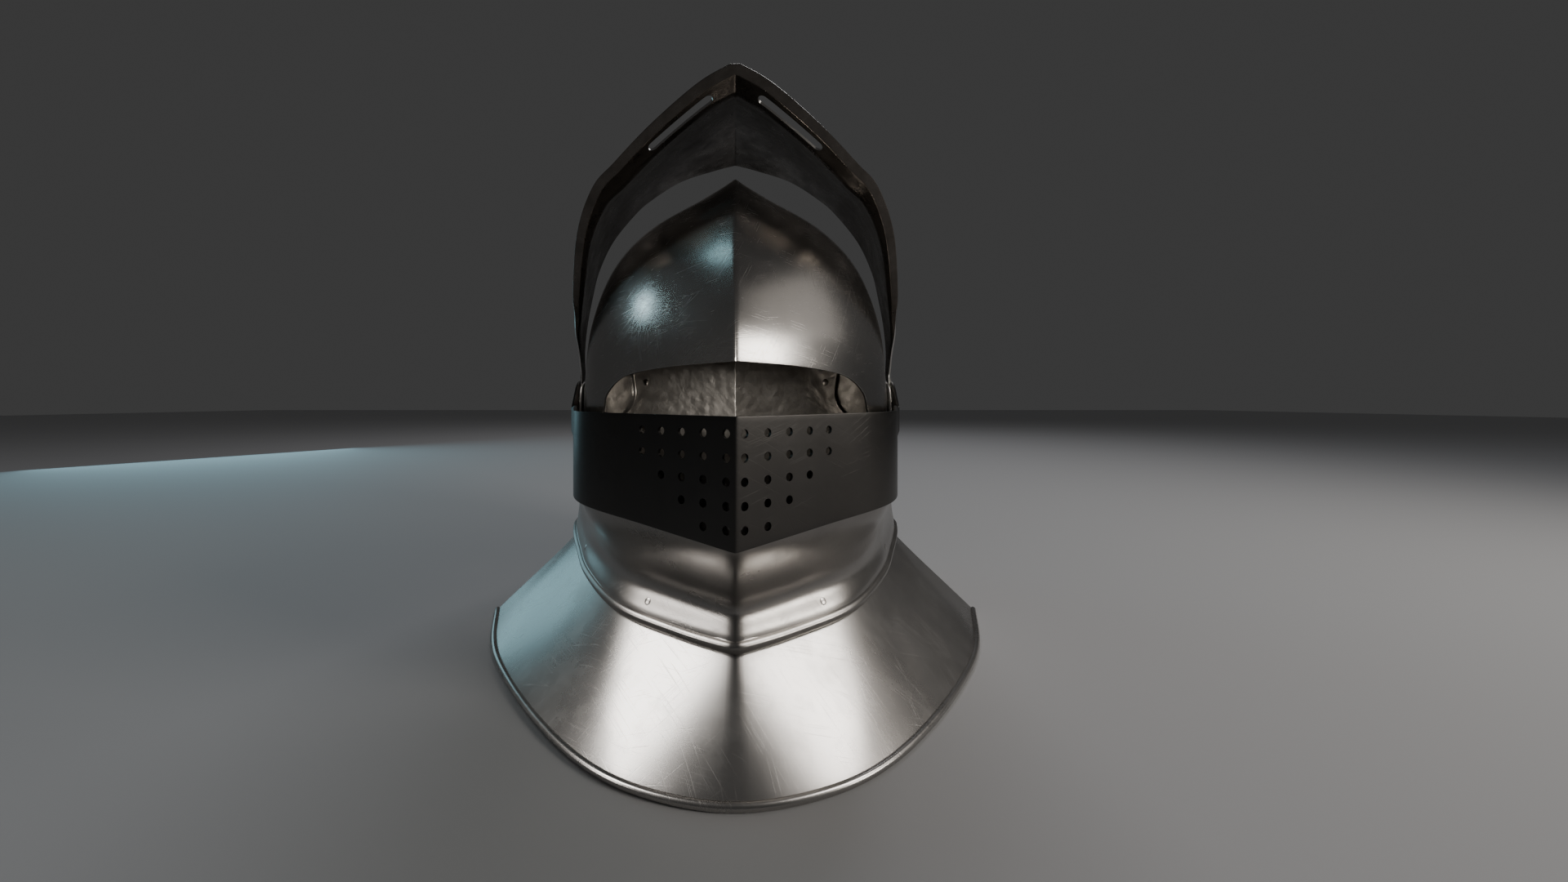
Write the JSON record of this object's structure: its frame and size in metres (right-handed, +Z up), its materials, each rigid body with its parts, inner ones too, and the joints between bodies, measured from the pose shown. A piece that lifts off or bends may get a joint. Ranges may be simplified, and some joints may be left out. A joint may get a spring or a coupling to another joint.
{
  "type": "close helmet",
  "caption": "Polished steel close helmet with a combed skull, raised visor with sight slots, pierced ventail, keeled bevor and flared gorget plates.",
  "frame": {"origin": "middle of the footprint on the plane that the rims stand on", "axes": "+Z up, the face looks along -Y, and the wearer's left side is +X"},
  "size_m": [0.2868, 0.3158, 0.2899],
  "materials": {
    "polished_steel": "dark polished steel plate, finely scratched",
    "rivet_steel": "plain steel rivets, bolts, nuts and washers",
    "lining_linen": "undyed quilted linen",
    "band_leather": "dark brown leather strip"
  },
  "bodies": {
    "skull": {"skull": "polished_steel", "nape_plate": "polished_steel", "detent_stud": "rivet_steel", "liner_band": "band_leather", "liner_cap": "lining_linen", "nape_rivet_1": "rivet_steel", "nape_rivet_2": "rivet_steel", "nape_rivet_3": "rivet_steel", "nape_rivet_4": "rivet_steel", "nape_rivet_5": "rivet_steel", "nape_rivet_6": "rivet_steel", "liner_rivet_1": "rivet_steel", "liner_rivet_2": "rivet_steel", "liner_rivet_3": "rivet_steel", "liner_rivet_4": "rivet_steel", "liner_rivet_5": "rivet_steel", "liner_rivet_6": "rivet_steel", "pivot_bolt_left": "rivet_steel", "pivot_washer_left": "rivet_steel", "pivot_nut_left": "rivet_steel", "pivot_bolt_right": "rivet_steel", "pivot_washer_right": "rivet_steel", "pivot_nut_right": "rivet_steel"},
    "bevor": {"bevor": "polished_steel", "gorget_front": "polished_steel", "gorget_rivet_1": "rivet_steel", "gorget_rivet_2": "rivet_steel", "gorget_rivet_3": "rivet_steel", "gorget_rivet_4": "rivet_steel", "gorget_rivet_5": "rivet_steel", "gorget_rivet_6": "rivet_steel"},
    "ventail": {"ventail": "polished_steel"},
    "visor": {"visor": "polished_steel"}
  },
  "joints": [
    {"name": "bevor_hinge", "type": "hinge", "parent": "skull", "child": "bevor", "pos_m": [0, 0.02178, 0.12636], "axis": [-1, 0, 0], "range_deg": [0, 40]},
    {"name": "ventail_hinge", "type": "hinge", "parent": "bevor", "child": "ventail", "pos_m": [0, 0.02178, 0.12636], "axis": [-1, 0, 0], "range_deg": [0, 30]},
    {"name": "visor_hinge", "type": "hinge", "parent": "ventail", "child": "visor", "pos_m": [0, 0.02178, 0.12636], "axis": [-1, 0, 0], "range_deg": [-59.5, 0]}
  ]
}
